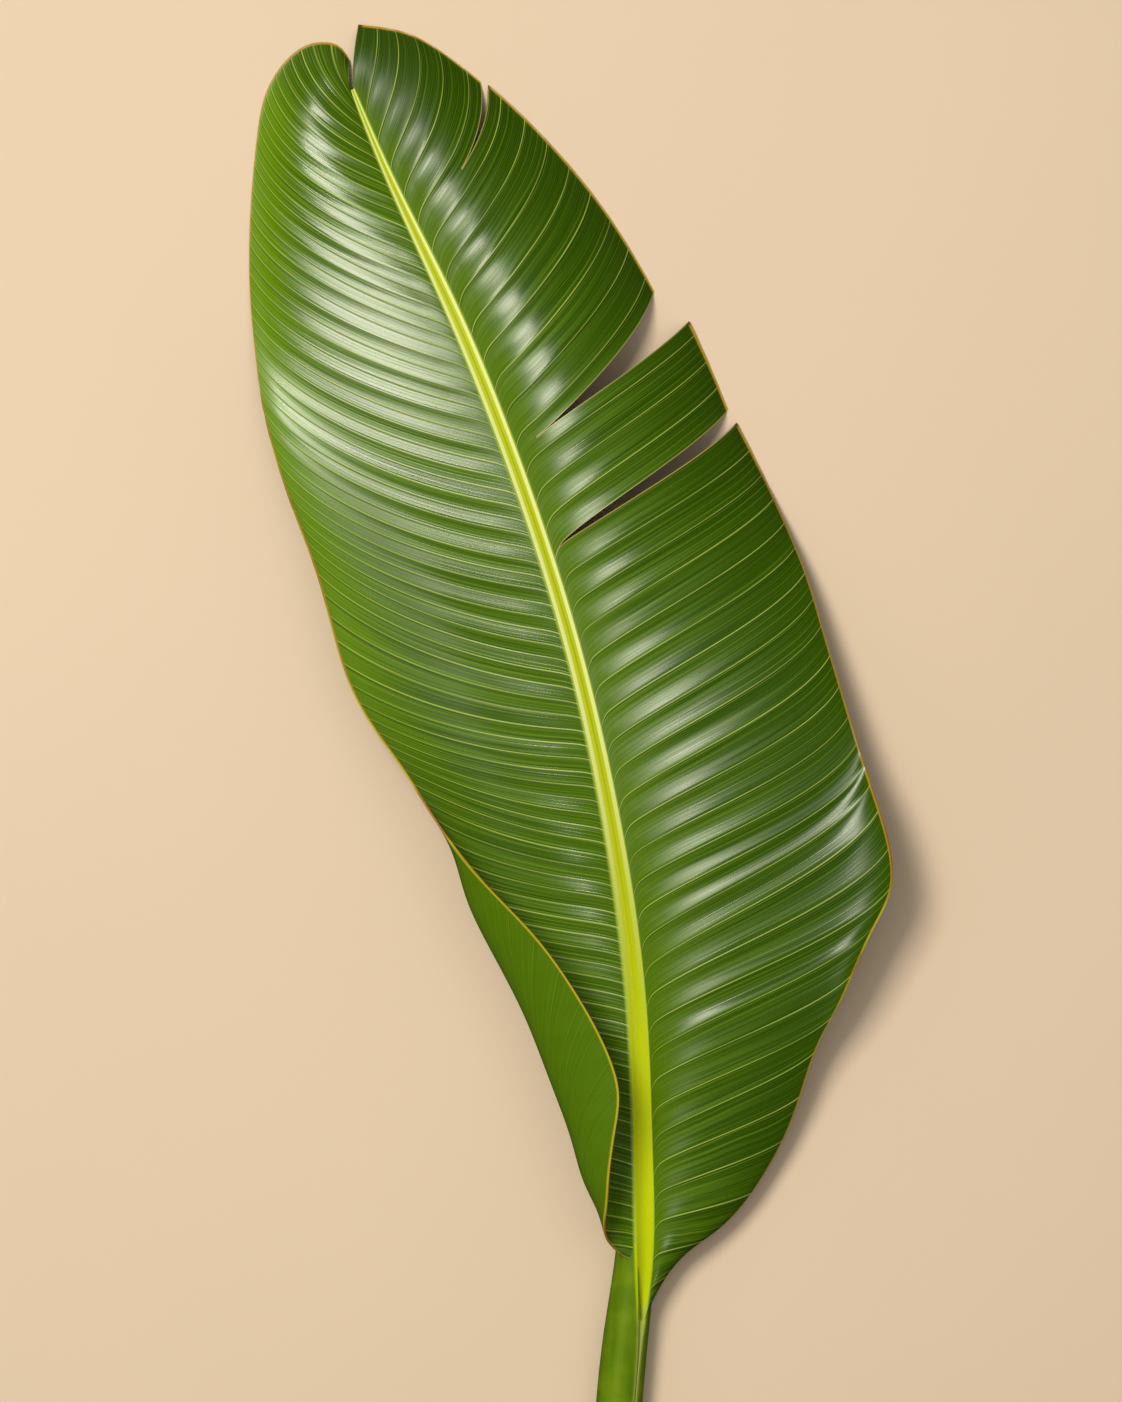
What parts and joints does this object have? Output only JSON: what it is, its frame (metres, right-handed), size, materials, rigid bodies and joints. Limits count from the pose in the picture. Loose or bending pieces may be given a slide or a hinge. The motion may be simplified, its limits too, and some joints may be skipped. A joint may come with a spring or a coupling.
{
  "type": "white bird of paradise leaf",
  "caption": "Large cut leaf with a grooved stalk, a thick rib and a pleated blade torn along its veins, curling in at the lower left edge.",
  "frame": {"origin": "middle of the leaf's box, on the surface it lies on", "axes": "+Y up the leaf from the cut end of the stalk to the tip, +X to its right, +Z away from the surface, towards the side of the leaf that faces up"},
  "size_m": [0.3082, 0.8158, 0.0592],
  "materials": {
    "leaf": "glossy leaf cuticle"
  },
  "bodies": {
    "root": {"leaf": "leaf"}
  },
  "joints": []
}
